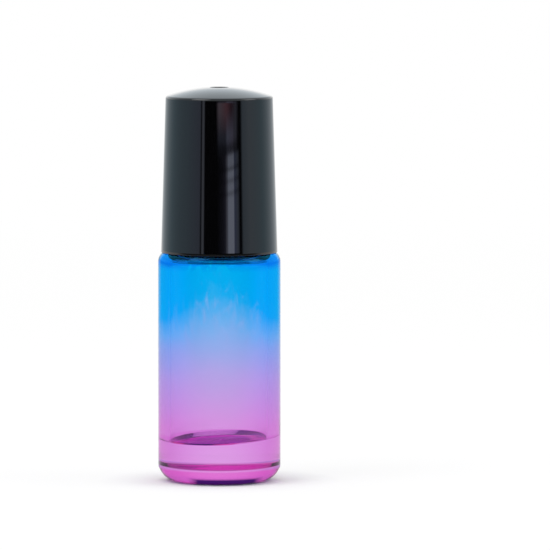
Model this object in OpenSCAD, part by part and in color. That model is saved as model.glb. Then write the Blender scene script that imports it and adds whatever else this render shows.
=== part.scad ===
// Roll-on bottle: a thick glass body with a threaded neck, a snap-in roller fitment with a
// steel ball, and a tall screw cap that holds a soft seal over the ball.
// Millimetres, +Z up. The origin is the middle of the ring that the base stands on.

/* [Glass body] */
// Outer diameter of the glass body
body_d = 20; // [17:0.5:26]
// Height of the shoulder above the table
shoulder_z = 37.9; // [28:0.5:60]
// Thickness of the side wall
wall_t = 2; // [1.6:0.1:2.8]
// Thickness of the glass under the middle of the cavity
base_t = 6.7; // [4:0.1:9]
// Diameter of the flat middle of the cavity's floor
floor_flat_d = 11.8; // [8:0.2:14]
// How far the floor rises from its flat middle to the wall
floor_rise = 0.5; // [0.1:0.05:1.5]
// Radius of the lower corner of the cavity
floor_corner_r = 0.3; // [0.2:0.05:0.8]
// Thickness of the glass between the shoulder and the cavity
shoulder_t = 1.4; // [1:0.1:3]
// Radius of the heel, where the wall turns under
heel_r = 3.2; // [1:0.1:3.6]
// Lean of the short band between the heel's curve and the mould seam, in degrees from upright
heel_lean = 28; // [5:1:40]
// Radius of the outer edge of the shoulder
shoulder_r = 2; // [0.8:0.1:2.4]
// Radius of the upper corner of the cavity
cavity_corner_r = 0.8; // [0.5:0.1:2]
// Width of the flat ring that the bottle stands on
foot_w = 1.4; // [0.8:0.1:2]
// Height of the hollow under the base
pushup_h = 0.8; // [0.3:0.1:1.5]

/* [Glass neck] */
// Diameter of the bore
bore_d = 10.5; // [9:0.1:12]
// Thickness of the neck wall
neck_t = 1.85; // [1.5:0.05:2.4]
// Height of the plain neck between the thread and the rim
rim_land = 1.4; // [0.8:0.05:2.5]
// Radius of the fillet between neck and shoulder
neck_fillet_r = 0.6; // [0.2:0.1:0.9]
// Rounding of the rim's two edges
rim_r = 0.35; // [0.1:0.05:0.6]
// Rounding of the lower edge of the bore
bore_edge_r = 0.3; // [0.1:0.05:0.6]
// Height of the middle of the bead above the shoulder
bead_z = 3.15; // [2:0.05:3.6]
// How far the bead stands out of the neck
bead_h = 0.85; // [0.4:0.05:0.9]
// Width of the bead along the neck
bead_w = 1.5; // [0.8:0.1:1.9]

/* [Thread] */
// Pitch of the single thread
pitch = 2.1; // [1.6:0.1:2.6]
// How far the neck thread stands out of the neck
thread_h = 0.9; // [0.5:0.05:1]
// Width of the neck thread where it meets the neck
thread_w = 1.2; // [0.8:0.05:1.3]
// Gap between the bead and the lowest turn of the cap thread
bead_gap = 0.25; // [0.1:0.05:1]
// Turns of the neck thread, run-outs included
neck_turns = 1.8; // [1:0.1:2.2]
// Turns of the cap thread, run-outs included
cap_turns = 1.6; // [1:0.1:2]
// Gap between the flanks of the two threads, along the neck
flank_gap = 0.1; // [0.05:0.01:0.15]
// Radial gap from each thread's crest to the wall that it faces
crest_gap = 0.2; // [0.12:0.01:0.4]

/* [Roller] */
// Diameter of the steel ball
ball_d = 9.525; // [8:0.005:10.5]
// Radial running gap round the ball
ball_gap = 0.06; // [0.03:0.01:0.12]
// Height of the lip above the middle of the ball
lip_rise = 1.65; // [1.2:0.05:2.2]
// Thickness of the plastic round the ball
head_t = 1.23; // [0.8:0.01:1.6]
// Width of the flat top of the lip
lip_w = 0.65; // [0.4:0.05:0.8]
// Height of the rounded top of the head
head_round_h = 2.7; // [1.5:0.1:3.5]
// Height of the head, from the collar to the lip
head_h = 6.2; // [5.6:0.05:8]
// Diameter of the seat bore under the ball
seat_d = 6.6; // [5:0.1:7]
// Height of the collar that rests on the glass rim
collar_h = 2.25; // [1.5:0.05:3]
// How far the collar stays inside the neck's outer wall
collar_inset = 0.15; // [0:0.05:0.4]
// Bevel of the collar's upper edge
collar_bevel = 0.25; // [0.1:0.05:0.5]
// Length of the plug inside the bore
plug_l = 6.3; // [4.5:0.1:8]
// Radial gap between the plug and the bore
plug_gap = 0.1; // [0.05:0.01:0.2]
// How far the sealing rings press into the bore wall
ring_bite = 0.03; // [0.01:0.01:0.06]
// Width of one sealing ring
ring_w = 0.7; // [0.4:0.1:1]
// Number of sealing rings on the plug
ring_count = 3; // [2:1:3]
// Thickness of the plug wall
plug_t = 1.05; // [0.7:0.05:1.4]
// Length of the bevel that leads the plug into the bore
plug_lead = 0.9; // [0.4:0.1:1.2]
// Number of feed grooves in the socket
groove_count = 4; // [3:1:8]
// Width of one feed groove
groove_w = 1.1; // [0.6:0.1:1.6]
// Depth of one feed groove
groove_depth = 0.4; // [0.2:0.05:0.6]

/* [Cap] */
// Thickness of the cap wall at its open edge
cap_wall_t = 1.3; // [1:0.05:1.8]
// Slope of the cap's side, in degrees
cap_taper = 1.7; // [0.5:0.05:2]
// Gap between the cap's edge and the rounded shoulder that it follows
cap_gap = 0.1; // [0.08:0.01:0.4]
// Thickness of the cap's top
cap_top_t = 1.25; // [0.8:0.05:2]
// Height of the dome above the top edge of the side
dome_h = 1.5; // [0.8:0.1:2.4]
// Radius of the edge between side and dome
cap_edge_r = 0.5; // [0.2:0.05:0.8]
// Rounding of the cap's open edge
cap_rim_r = 0.1; // [0.05:0.05:0.3]
// Diameter of the dimple in the middle of the dome
dimple_d = 3; // [1.5:0.1:4]
// Depth of the dimple
dimple_depth = 0.4; // [0.15:0.05:0.6]
// Diameter of the moulding gate's mark in the dimple
gate_d = 0.8; // [0.4:0.1:1.2]
// Height of the gate's mark
gate_h = 0.15; // [0.05:0.05:0.3]
// Thickness of the collar inside the cap that holds the seal
holder_t = 0.65; // [0.5:0.05:0.9]
// Number of webs between the holder and the cap wall
web_count = 6; // [3:1:10]
// Thickness of one web
web_t = 0.8; // [0.5:0.1:1.2]

/* [Seal] */
// Thickness of the seal above the ball
seal_t = 1.1; // [0.8:0.1:2]
// Gap between the seal and the parts that it faces when the cap is on
seal_gap = 0.08; // [0.04:0.01:0.15]
// How far the seal reaches outside the roller head
seal_overhang = 0.2; // [0.1:0.05:0.3]
// Height of the flange that holds the seal in the cap
flange_h = 1.1; // [0.6:0.1:1.4]
// How far the flange and the holder's lip stand out
snap_h = 0.2; // [0.1:0.05:0.25]
// Height of the holder's lip
snap_w = 0.4; // [0.3:0.1:0.6]
// Air gap between the seal and the cap's top at the holder
ceiling_gap = 0.2; // [0.1:0.1:0.8]

/* [Hidden] */
$fn = 96;

// How far a cut runs past the face that it opens
overrun = 0.5;
// How deep a thread's root is sunk into its wall
root_depth = 0.3;
// Angle that the thread takes to rise out of the wall, in degrees
runout = 50;
// Angle of one step along a thread, in degrees
thread_step = 10;
// Angle round the neck at which its thread begins, in degrees
thread_start = -240;
// Angle by which the cap thread begins after the neck thread, in degrees
cap_thread_delay = 20;
// Steps in a quarter circle of an outline
arc_steps = 8;
// Steps in the curve of the dome
dome_steps = 12;
// Steps in the cap's edge where it follows the shoulder
skirt_steps = 6;
// Slope of the thread's flanks: its width at six tenths of its height and at its crest
mid_width_share = 0.84;
crest_width_share = 0.42;
mid_height_share = 0.6;
// Largest share of a wall or ledge that a rounding may take
round_share = 0.7;

body_r = body_d / 2;
bore_r = bore_d / 2;
neck_r = bore_r + neck_t;
cavity_r = body_r - wall_t;
cavity_top = shoulder_z - shoulder_t;
ledge_w = body_r - neck_r;
shoulder_round = min(shoulder_r, ledge_w * round_share);
neck_round = min(neck_fillet_r, ledge_w - shoulder_round);
cavity_round = min(cavity_corner_r, (cavity_r - bore_r) * round_share);
flat_r = min(floor_flat_d / 2, cavity_r - 2 * floor_corner_r);
floor_slope = atan(floor_rise / (cavity_r - flat_r));
corner_r = cavity_r - floor_corner_r;
corner_z = base_t + (corner_r - flat_r) * tan(floor_slope) + floor_corner_r / cos(floor_slope);
seam_z = heel_r * (1 - tan(heel_lean / 2));
bore_round = min(bore_edge_r, cavity_r - bore_r - cavity_round);
foot_r = body_r - heel_r;

// The cap thread fills the groove between the neck thread's turns, flank_gap from each flank
cap_thread_w = (pitch - 2 * flank_gap) / mid_width_share - thread_w;
cap_thread_h = max(thread_h, bead_h);
bead_mid = shoulder_z + bead_z;
cap_thread_low = bead_mid + bead_w / 2 + bead_gap + cap_thread_w / 2;
thread_low = cap_thread_low + pitch / 2;
thread_top = thread_low + pitch * neck_turns;
rim_z = thread_top + thread_w / 2 + rim_land;

cap_in = neck_r + cap_thread_h + crest_gap;
cap_low_r = cap_in + cap_wall_t;
cap_tip_r = cap_low_r - cap_rim_r;
cap_low = skirt_z(cap_tip_r);
slope = tan(cap_taper);

ball_r = ball_d / 2;
socket_r = ball_r + ball_gap;
head_r = socket_r + head_t;
collar_r = max(neck_r - collar_inset, head_r + collar_bevel);
collar_top = rim_z + collar_h;
lip_z = collar_top + head_h;
ball_z = lip_z - lip_rise;
ball_top = ball_z + ball_r;
lip_in = sqrt(socket_r * socket_r - lip_rise * lip_rise);
lip_out = lip_in + lip_w;
seat_r = seat_d / 2;
seat_z = ball_z - sqrt(socket_r * socket_r - seat_r * seat_r);
plug_r = bore_r - plug_gap;
plug_in = plug_r - plug_t;
plug_bottom = rim_z - plug_l;
ring_space = (plug_l - plug_lead) / (ring_count + 1);

seal_r = head_r + seal_overhang;
seal_top = ball_top + seal_gap + seal_t;
seal_low = lip_z + seal_gap;
seal_sphere = ball_r + seal_gap;
seal_body_r = seal_r - snap_h;
holder_in = seal_r + seal_gap;
holder_out = holder_in + holder_t;
holder_low = seal_top - flange_h - snap_w - seal_gap;

// How far a sphere of radius big_r falls from its top at distance r from the axis
function sag(r, big_r) = big_r - sqrt(big_r * big_r - r * r);

// The radius of a sphere whose cap has rim radius r and height h
function cap_sphere(r, h) = (r * r + h * h) / (2 * h);

// Height of the cap's edge over the shoulder at distance r from the axis, cap_gap clear of it
function skirt_z(r) =
    let (reach = shoulder_round + cap_gap,
         out = min(max(0, r - body_r + shoulder_round), reach))
    shoulder_z - shoulder_round + sqrt(reach * reach - out * out);

// The dome is part of a sphere. Its ceiling clears the seal at the holder.
dome_r = cap_sphere(cap_low_r - (seal_top + cap_top_t + ceiling_gap - cap_low) * slope, dome_h);
ceiling_r = dome_r - cap_top_t;
ceiling_top = seal_top + seal_gap + ceiling_gap + sag(holder_in, ceiling_r);
apex = ceiling_top + cap_top_t;
upper_z = thread_top + thread_w / 2;
function cap_side(z) = cap_low_r - (z - cap_low) * slope;
function inner_side(z) = cap_side(z) - cap_wall_t;

// Points of an arc about (cx, cz), from angle a0 to angle a1
function arc(cx, cz, r, a0, a1, steps = 0) =
    let (n = max(2, steps, ceil(abs(a1 - a0) / 90 * arc_steps)))
    [for (i = [0:n]) let (a = a0 + (a1 - a0) * i / n) [cx + r * cos(a), cz + r * sin(a)]];

// Points of a quarter or half ellipse about (cx, cz)
function oval(cx, cz, rx, rz, a0, a1) =
    let (n = max(2, ceil(abs(a1 - a0) / 90 * arc_steps)))
    [for (i = [0:n]) let (a = a0 + (a1 - a0) * i / n) [cx + rx * cos(a), cz + rz * sin(a)]];

// The hollow under the base is a shallow arc that ends at the foot ring
function pushup_curve() =
    let (r = foot_r - foot_w, big_r = cap_sphere(r, pushup_h))
    [for (i = [0:arc_steps]) let (x = r * i / arc_steps) [x, pushup_h - sag(x, big_r)]];

// One cross-section of a helical ridge: out is 1 for a ridge on a shaft, -1 for one in a bore
function ridge_ring(wall_r, h, w, out, grow) =
    let (low = wall_r - out * root_depth,
         high = out * (h + root_depth / 2) * grow - out * root_depth / 2,
         mid = wall_r + high - out * h * (1 - mid_height_share) * grow,
         crest = wall_r + high,
         half = out * w / 2)
    [[low, -half],
     [mid, -half * mid_width_share],
     [crest, -half * crest_width_share],
     [crest, half * crest_width_share],
     [mid, half * mid_width_share],
     [low, half]];

// A helical ridge with smooth run-outs, swept as one closed body
module ridge(wall_r, h, w, out, turns, z0, a0) {
    steps = round(turns * 360 / thread_step);
    span = turns * 360;
    rings = [for (i = [0:steps])
        let (a = span * i / steps,
             end = min(a, span - a, runout) / runout,
             grow = sin(90 * end))
        [for (p = ridge_ring(wall_r, h, w, out, grow))
            [p[0] * cos(a0 + a), p[0] * sin(a0 + a), z0 + pitch * a / 360 + p[1]]]];
    n = len(rings[0]);
    points = [for (ring = rings) each ring];
    sides = [for (i = [0:steps - 1], j = [0:n - 1])
        let (k = (j + 1) % n)
        each [[i * n + j, i * n + k, (i + 1) * n + k],
              [i * n + j, (i + 1) * n + k, (i + 1) * n + j]]];
    first = [for (j = [n - 1:-1:0]) j];
    last = [for (j = [0:n - 1]) steps * n + j];
    polyhedron(points = points, faces = concat([first, last], sides), convexity = 10);
}

// The glass: base, body, shoulder, bead and neck are one outline turned about the axis
module glass_outline() {
    polygon(concat(
        pushup_curve(),
        arc(foot_r, heel_r, heel_r, -90, -heel_lean),
        [[body_r, seam_z]],
        arc(body_r - shoulder_round, shoulder_z - shoulder_round, shoulder_round, 0, 90),
        arc(neck_r + neck_round, shoulder_z + neck_round, neck_round, -90, -180),
        oval(neck_r, bead_mid, bead_h, bead_w / 2, -90, 90),
        arc(neck_r - rim_r, rim_z - rim_r, rim_r, 0, 90),
        arc(bore_r + rim_r, rim_z - rim_r, rim_r, 90, 180),
        arc(bore_r + bore_round, cavity_top + bore_round, bore_round, 180, 270),
        arc(cavity_r - cavity_round, cavity_top - cavity_round, cavity_round, 90, 0),
        arc(corner_r, corner_z, floor_corner_r, 0, floor_slope - 90),
        [[flat_r, base_t], [0, base_t]]));
}

module glass_bottle() {
    color([0.45, 0.5, 0.95, 0.6])
    union() {
        rotate_extrude() glass_outline();
        ridge(neck_r, thread_h, thread_w, 1, neck_turns, thread_low, thread_start);
    }
}

// The fitment: plug with sealing rings, collar on the rim, and head with the ball's socket
function plug_side() =
    [for (i = [1:ring_count])
        each oval(plug_r, plug_bottom + plug_lead + i * ring_space,
                  plug_gap + ring_bite, ring_w / 2, -90, 90)];

function socket_curve() =
    arc(0, ball_z, socket_r, asin(lip_rise / socket_r), -acos(seat_r / socket_r), 2 * arc_steps);

module housing_outline() {
    polygon(concat(
        [[plug_in, plug_bottom],
         [plug_r - plug_lead / 2, plug_bottom],
         [plug_r, plug_bottom + plug_lead]],
        plug_side(),
        [[plug_r, rim_z],
         [collar_r, rim_z],
         [collar_r, collar_top - collar_bevel],
         [collar_r - collar_bevel, collar_top],
         [head_r, collar_top]],
        oval(lip_out, lip_z - head_round_h, head_r - lip_out, head_round_h, 0, 90),
        socket_curve(),
        [[seat_r, collar_top - collar_h / 2],
         [plug_in, rim_z]]));
}

module roller_housing() {
    color([0.86, 0.92, 0.96, 0.7])
    difference() {
        rotate_extrude() housing_outline();
        for (i = [0:groove_count - 1]) rotate([0, 0, 360 / groove_count * (i + 1 / 2)])
            intersection() {
                translate([0, 0, ball_z]) sphere(r = socket_r + groove_depth);
                translate([0, -groove_w / 2, seat_z - overrun])
                    cube([head_r, groove_w, ball_z - seat_z + overrun]);
            }
    }
}

module roller_ball() {
    color([0.8, 0.8, 0.82])
    translate([0, 0, ball_z]) sphere(r = ball_r);
}

// The cap: tapered side, dome, threaded skirt that ends over the shoulder's rounding, and a
// wider chamber above the thread
module cap_outline() {
    dome_mid = apex - dome_r;
    // The edge's arc touches the side and, from within, the dome: its middle lies at (edge_mid, edge_up)
    reach = cap_side(dome_mid) - cap_edge_r / cos(cap_taper);
    room = dome_r - cap_edge_r;
    tilt = 1 + slope * slope;
    edge_up = (reach * slope + sqrt(room * room * tilt - reach * reach)) / tilt;
    edge_mid = reach - edge_up * slope;
    edge_angle = atan2(edge_up, edge_mid);
    ceiling_angle = acos(inner_side(ceiling_top - dome_h) / ceiling_r);
    polygon(concat(
        arc(cap_low_r - cap_rim_r, cap_low + cap_rim_r, cap_rim_r, -90, 0),
        arc(edge_mid, dome_mid + edge_up, cap_edge_r, cap_taper, edge_angle),
        arc(0, dome_mid, dome_r, edge_angle, 90, dome_steps),
        arc(0, dome_mid, ceiling_r, 90, ceiling_angle, dome_steps),
        [[inner_side(upper_z + crest_gap), upper_z + crest_gap],
         [cap_in, upper_z]],
        [for (i = [0:skirt_steps - 1])
            let (r = cap_in + (cap_tip_r - cap_in) * i / skirt_steps) [r, skirt_z(r)]]));
}

module dimple() {
    translate([0, 0, apex - dimple_depth]) difference() {
        cylinder(d = dimple_d, h = dimple_depth + overrun);
        translate([0, 0, -overrun]) cylinder(d = gate_d, h = overrun + gate_h);
    }
}

// The holder inside the dome: a ring with a step above the seal and a lip below it
module holder_outline() {
    step_z = seal_top + seal_gap;
    lip_in_r = seal_body_r + seal_gap;
    polygon([
        [holder_out, holder_low],
        [holder_out, ceiling_top],
        [seal_body_r, ceiling_top],
        [seal_body_r, step_z],
        [holder_in, step_z],
        [holder_in, holder_low + snap_w],
        [lip_in_r, holder_low + snap_w / 2],
        [holder_in, holder_low]]);
}

// Everything under the cap's outer skin, used to trim the holder and the webs
module dome_space() {
    translate([0, 0, apex - dome_r]) sphere(r = ceiling_r + cap_top_t / 2);
}

module screw_cap() {
    color([0.06, 0.06, 0.07])
    union() {
        difference() {
            rotate_extrude() cap_outline();
            dimple();
        }
        intersection() {
            rotate_extrude() holder_outline();
            dome_space();
        }
        intersection() {
            for (i = [0:web_count - 1]) rotate([0, 0, 360 / web_count * i])
                translate([holder_in + holder_t / 2, -web_t / 2, holder_low + snap_w])
                    cube([inner_side(holder_low) + cap_wall_t / 2 - holder_in - holder_t / 2,
                          web_t, ceiling_top - holder_low]);
            dome_space();
        }
        ridge(cap_in, cap_thread_h, cap_thread_w, -1, cap_turns,
              cap_thread_low + pitch * cap_thread_delay / 360, thread_start + cap_thread_delay);
    }
}

// The seal: a soft cup that bears on the lip and fits over the ball
module seal_outline() {
    skirt_angle = asin((seal_low - ball_z) / seal_sphere);
    polygon(concat(
        [[lip_out, seal_low],
         [seal_body_r, seal_low + head_r - lip_out],
         [seal_body_r, seal_top - flange_h],
         [seal_r, seal_top - flange_h + snap_h],
         [seal_r, seal_top],
         [0, seal_top]],
        arc(0, ball_z, seal_sphere, 90, skirt_angle)));
}

module cap_seal() {
    color([0.93, 0.94, 0.93])
    rotate_extrude() seal_outline();
}

glass_bottle();
roller_housing();
roller_ball();
screw_cap();
cap_seal();
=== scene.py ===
"""A slim glass roll-on bottle with its cap on, dressed round its construction model.

The frame gives each part's place and outer size. Every visible part is turned again here as a
smooth surface of revolution: the sprayed glass body with its thread, the soft roller fitment,
the steel ball, the black screw cap and the seal inside it.
"""

import logging
from collections.abc import Callable
from dataclasses import dataclass
from enum import Enum
from functools import partial
from math import acos, asin, atan, atan2, ceil, cos, degrees, pi, radians, sin, sqrt, tan

import bpy
import numpy as np
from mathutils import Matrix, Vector


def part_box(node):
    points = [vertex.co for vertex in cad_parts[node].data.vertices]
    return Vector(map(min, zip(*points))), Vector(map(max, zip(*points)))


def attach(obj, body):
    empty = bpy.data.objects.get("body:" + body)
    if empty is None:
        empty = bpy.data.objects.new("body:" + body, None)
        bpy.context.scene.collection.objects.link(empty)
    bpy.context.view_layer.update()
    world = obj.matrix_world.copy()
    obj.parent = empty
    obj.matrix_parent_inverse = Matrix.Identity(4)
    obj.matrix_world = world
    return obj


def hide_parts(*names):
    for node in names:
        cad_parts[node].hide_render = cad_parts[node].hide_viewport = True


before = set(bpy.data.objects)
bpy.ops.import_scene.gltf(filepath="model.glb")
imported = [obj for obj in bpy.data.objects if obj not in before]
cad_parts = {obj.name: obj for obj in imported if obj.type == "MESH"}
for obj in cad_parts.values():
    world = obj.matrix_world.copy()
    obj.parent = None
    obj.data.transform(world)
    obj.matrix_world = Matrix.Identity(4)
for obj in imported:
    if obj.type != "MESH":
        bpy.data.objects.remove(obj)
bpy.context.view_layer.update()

MM = 0.001
TURN = 2 * pi
SEGMENTS = 192
WHITE = (1.0, 1.0, 1.0, 1.0)
Material = bpy.types.Material
Node = bpy.types.Node
Socket = bpy.types.NodeSocket
Adder = Callable[..., Node]
Stops = tuple[tuple[float, str], ...]
Pair = tuple[float, float]
Array = np.ndarray
Change = Callable[[Array, Array], Array]
log = logging.getLogger("roll_on_bottle")


def linear(code: str) -> tuple[float, float, float, float]:
    """Turn an sRGB hex colour into the linear values that the shader takes.

    Args:
        code: Six hex digits after a hash, as "#0A9BFA".

    Returns:
        Linear red, green and blue, and an alpha of one.
    """
    parts = np.array([int(code[i:i + 2], 16) for i in (1, 3, 5)]) / 255
    low = parts / 12.92
    high = ((parts + 0.055) / 1.055) ** 2.4
    return (*np.where(parts <= 0.04045, low, high).tolist(), 1.0)


def add_node(tree: bpy.types.NodeTree, kind: str, *inputs: object, **named: object) -> Node:
    """Add one shader node with its settings and its links.

    Args:
        tree: The node tree that gets the node.
        kind: The node's type name without the "ShaderNode" prefix, and then its operation or
            its data type where it has one.
        inputs: What its inputs get, in their order. A socket is linked, a node is linked by
            the first output that it uses, and a value is set.
        named: Its own properties, and what other inputs get by name, with "_" for a space.

    Returns:
        The new node.
    """
    kind, _, mode = kind.partition(" ")
    node = tree.nodes.new("ShaderNode" + kind)
    if mode:
        setattr(node, "data_type" if kind == "Mix" else "operation", mode)
    given = list(zip([socket for socket in node.inputs if socket.enabled], inputs))
    for key, value in named.items():
        if hasattr(node, key):
            setattr(node, key, value)
        else:
            given.append((node.inputs[key.replace("_", " ")], value))
    for socket, value in given:
        if isinstance(value, Node):
            value = next(output for output in value.outputs if output.enabled)
        if isinstance(value, Socket):
            tree.links.new(value, socket)
        else:
            socket.default_value = value
    return node


def start_nodes(owner: Material | bpy.types.World) -> Adder:
    """Empty the nodes of a material or a world.

    Args:
        owner: The material or the world.

    Returns:
        What adds a node to it.
    """
    owner.use_nodes = True
    owner.node_tree.nodes.clear()
    return partial(add_node, owner.node_tree)


def mm(*lengths: float) -> tuple[float, ...]:
    """Turn lengths in millimetres into metres."""
    return tuple(length * MM for length in lengths)


def from_axis(add: Adder, place: Node | Socket) -> Node:
    """Work out a point's distance from the upright axis."""
    return add("VectorMath LENGTH", add("VectorMath MULTIPLY", place, (1.0, 1.0, 0.0)))


def set_ramp(ramp: Node, stops: list[tuple[float, str]]) -> None:
    """Give a colour ramp its stops, with straight runs between them.

    Args:
        ramp: The ColorRamp node.
        stops: Positions from 0 to 1 with their hex colours, in rising order.
    """
    elements = ramp.color_ramp.elements
    while len(elements) < len(stops):
        elements.new(1.0)
    for element, (place, code) in zip(elements, stops):
        element.position = place
        element.color = linear(code)


class Outline:
    """Half of a turned part's section, as points of (r, z) in millimetres."""

    def __init__(self, r: float, z: float) -> None:
        """Start the outline at one point."""
        self.runs = [np.array([[r, z]])]

    def line(self, *ends: tuple[float, float, int]) -> "Outline":
        """Go straight from end to end.

        Args:
            ends: Points of (r, z), each with the number of equal steps to it.

        Returns:
            The outline itself.
        """
        for r, z, steps in ends:
            share = np.linspace(0, 1, steps + 1)[1:, None]
            self.runs.append(self.runs[-1][-1] * (1 - share) + np.array([r, z]) * share)
        return self

    def oval(self, r: float, z: float, wide: float, high: float, start: float, end: float,
             steps: int = 10) -> "Outline":
        """Follow an ellipse about (r, z) from angle start to angle end.

        Args:
            r, z: The middle.
            wide, high: Half axes along r and z.
            start, end: Angles in degrees.
            steps: Number of steps.

        Returns:
            The outline itself.
        """
        angle = np.radians(np.linspace(start, end, steps + 1))
        self.runs.append(np.stack([r + wide * np.cos(angle), z + high * np.sin(angle)], axis=1))
        return self

    def arc(self, r: float, z: float, radius: float, start: float, end: float,
            steps: int = 10) -> "Outline":
        """Follow a circle about (r, z) from angle start to angle end."""
        return self.oval(r, z, radius, radius, start, end, steps)

    def corner(self, r: float, z: float, radius: float, *turn: int) -> "Outline":
        """Round a square corner by a quarter circle.

        Args:
            r, z: The corner.
            radius: The quarter circle's radius.
            turn: Its first and its last angle in degrees, and its number of steps.

        Returns:
            The outline itself.
        """
        middle = radians((turn[0] + turn[1]) / 2)
        across, up = radius * np.sign([cos(middle), sin(middle)])
        return self.arc(r - across, z - up, radius, *turn)

    def points(self) -> Array:
        """Join the runs.

        Returns:
            All points, without the ones that repeat their neighbour.
        """
        all_points = np.concatenate(self.runs)
        gap = np.linalg.norm(np.diff(all_points, axis=0), axis=1)
        return all_points[np.concatenate([[True], gap > 1e-5])]


@dataclass
class Surface:
    """Vertices and faces of one closed surface, with a material number for each face."""

    points: Array
    faces: list[list[int]]
    slots: Array

    def __add__(self, other: "Surface") -> "Surface":
        """Put two surfaces into one piece.

        Args:
            other: The surface that comes second.

        Returns:
            Both surfaces as one.
        """
        shift = len(self.points)
        moved = [[i + shift for i in face] for face in other.faces]
        return Surface(np.concatenate([self.points, other.points]), self.faces + moved,
                       np.concatenate([self.slots, other.slots]))


def turned(outline: Array, swell: Change | None = None, shift: Change | None = None,
           slots: Callable[[Array], Array] | None = None, segments: int = SEGMENTS) -> Surface:
    """Turn an outline about the axis into a closed surface.

    A point of the surface at angle a and outline place s is
    ((r(s) + swell) cos a, (r(s) + swell) sin a, z(s) + shift).
    An outline that begins and ends on the axis gives a ball-like surface with two poles, and
    any other is closed on itself like a ring. It runs counter-clockwise, with +r to the right.

    Args:
        outline: Points of (r, z) in millimetres.
        swell: Extra radius as a function of the angle grid and the outline grid.
        shift: Extra height as a function of the same two grids.
        slots: Material number of each stretch, as a function of the stretches' middles.
        segments: Number of steps round the axis.

    Returns:
        The surface in millimetres.
    """
    poles = outline[0, 0] < 1e-6 and outline[-1, 0] < 1e-6
    rows = len(outline)
    grid_a, grid_s = np.meshgrid(np.arange(segments) * TURN / segments, np.arange(rows))
    r, z = outline[grid_s, 0], outline[grid_s, 1]
    if swell is not None:
        r = np.where(r > 1e-6, r + swell(grid_a, outline[grid_s]), r)
    if shift is not None:
        z = z + shift(grid_a, outline[grid_s])
    points = np.stack([r * np.cos(grid_a), r * np.sin(grid_a), z], axis=2)
    index = np.arange(rows * segments).reshape(rows, segments)
    after = np.roll(index, -1, axis=1)
    if poles:
        index[0], after[0] = 0, 0
        index[1:-1] += 1 - segments
        after[1:-1] += 1 - segments
        last = (rows - 2) * segments + 1
        index[-1], after[-1] = last, last
        flat = np.concatenate([points[0, :1], points[1:-1].reshape(-1, 3), points[-1, :1]])
        low, high = np.arange(rows - 1), np.arange(1, rows)
    else:
        flat = points.reshape(-1, 3)
        low, high = np.arange(rows), (np.arange(rows) + 1) % rows
    quads = np.stack([index[low], after[low], after[high], index[high]], axis=2).reshape(-1, 4)
    middles = (outline[low] + outline[high]) / 2
    numbers = np.zeros(len(low), int) if slots is None else slots(middles)
    if poles:
        first = np.delete(quads[:segments], 1, axis=1).tolist()
        final = np.delete(quads[-segments:], 3, axis=1).tolist()
        faces = first + quads[segments:-segments].tolist() + final
    else:
        faces = quads.tolist()
    return Surface(flat, faces, np.repeat(numbers, segments))


def new_object(name: str, points: Array, faces: list[list[int]],
               materials: list[Material]) -> bpy.types.Object:
    """Link a new mesh object into the scene.

    Args:
        name: The name of the object and of its mesh.
        points: Its vertices in metres.
        faces: Its faces.
        materials: Its finishes, by the faces' material numbers.

    Returns:
        The new object.
    """
    mesh = bpy.data.meshes.new(name)
    mesh.from_pydata(points.tolist(), [], faces)
    for material in materials:
        mesh.materials.append(material)
    thing = bpy.data.objects.new(name, mesh)
    bpy.context.scene.collection.objects.link(thing)
    return thing


def look_along(data: bpy.types.ID, place: Vector, way: Vector) -> bpy.types.Object:
    """Link a camera or a lamp into the scene.

    Args:
        data: The camera or the lamp.
        place: Where it stands, in metres.
        way: The direction that it faces.

    Returns:
        The new object.
    """
    thing = bpy.data.objects.new(data.name, data)
    thing.location = place
    thing.rotation_mode = "QUATERNION"
    thing.rotation_quaternion = way.to_track_quat("-Z", "Y")
    bpy.context.scene.collection.objects.link(thing)
    return thing


def piece(name: str, body: str, surface: Surface, materials: list[Material],
          node: str) -> bpy.types.Object:
    """Make a smooth mesh piece that stands for one construction node and moves with its body.

    Args:
        name: The piece's name.
        body: The body that it rides on.
        surface: Its surface in millimetres.
        materials: Its finishes, by the faces' material numbers.
        node: The construction node that it stands for.

    Returns:
        The new object.
    """
    thing = new_object(name, surface.points * MM, surface.faces, materials)
    mesh = thing.data
    mesh.polygons.foreach_set("material_index", surface.slots.astype(np.int32))
    mesh.polygons.foreach_set("use_smooth", np.ones(len(surface.faces), bool))
    mesh.update()
    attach(thing, body)
    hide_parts(node)
    log.info("%s: %d faces on %s", name, len(surface.faces), body)
    return thing


def node_box(node: str) -> tuple[Vector, Vector]:
    """Give a construction node's lowest and highest corner in millimetres."""
    low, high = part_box(node)
    return low / MM, high / MM


@dataclass(frozen=True)
class Helix:
    """A thread's course: one right-hand start that rises by the pitch each turn."""

    pitch: float = 2.1
    start: float = radians(-240)
    low: float = 43.631
    turns: float = 1.8
    width: float = 1.2
    height: float = 0.9
    runout: float = radians(50)

    def ridge(self, angle: Array, z: Array) -> Array:
        """Height of the ridge over its wall.

        The ridge's middle lies at low + pitch a / turn, with a counted from the start, and its
        section is height (1 - (2 d / width)^2.6)^0.8 at distance d from that middle. A sine
        raises and lowers it over the run-outs.

        Args:
            angle: Angles about the axis.
            z: Heights in millimetres, on the same grid.

        Returns:
            The ridge's height in millimetres.
        """
        span = self.turns * TURN
        tall = np.zeros_like(z)
        for lap in range(ceil(self.turns)):
            a = np.mod(angle - self.start, TURN) + lap * TURN
            d = np.abs(z - self.low - self.pitch * a / TURN) * 2 / self.width
            section = np.clip(1 - np.clip(d, 0, 1) ** 2.6, 0, 1) ** 0.8
            rise = np.sin(np.clip(np.minimum(a, span - a) / self.runout, 0, 1) * pi / 2)
            tall = np.maximum(tall, self.height * section * rise)
        return tall


class Side(Enum):
    """The two sides of the glass wall, by material number."""

    OUTER = 0
    INNER = 1


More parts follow.
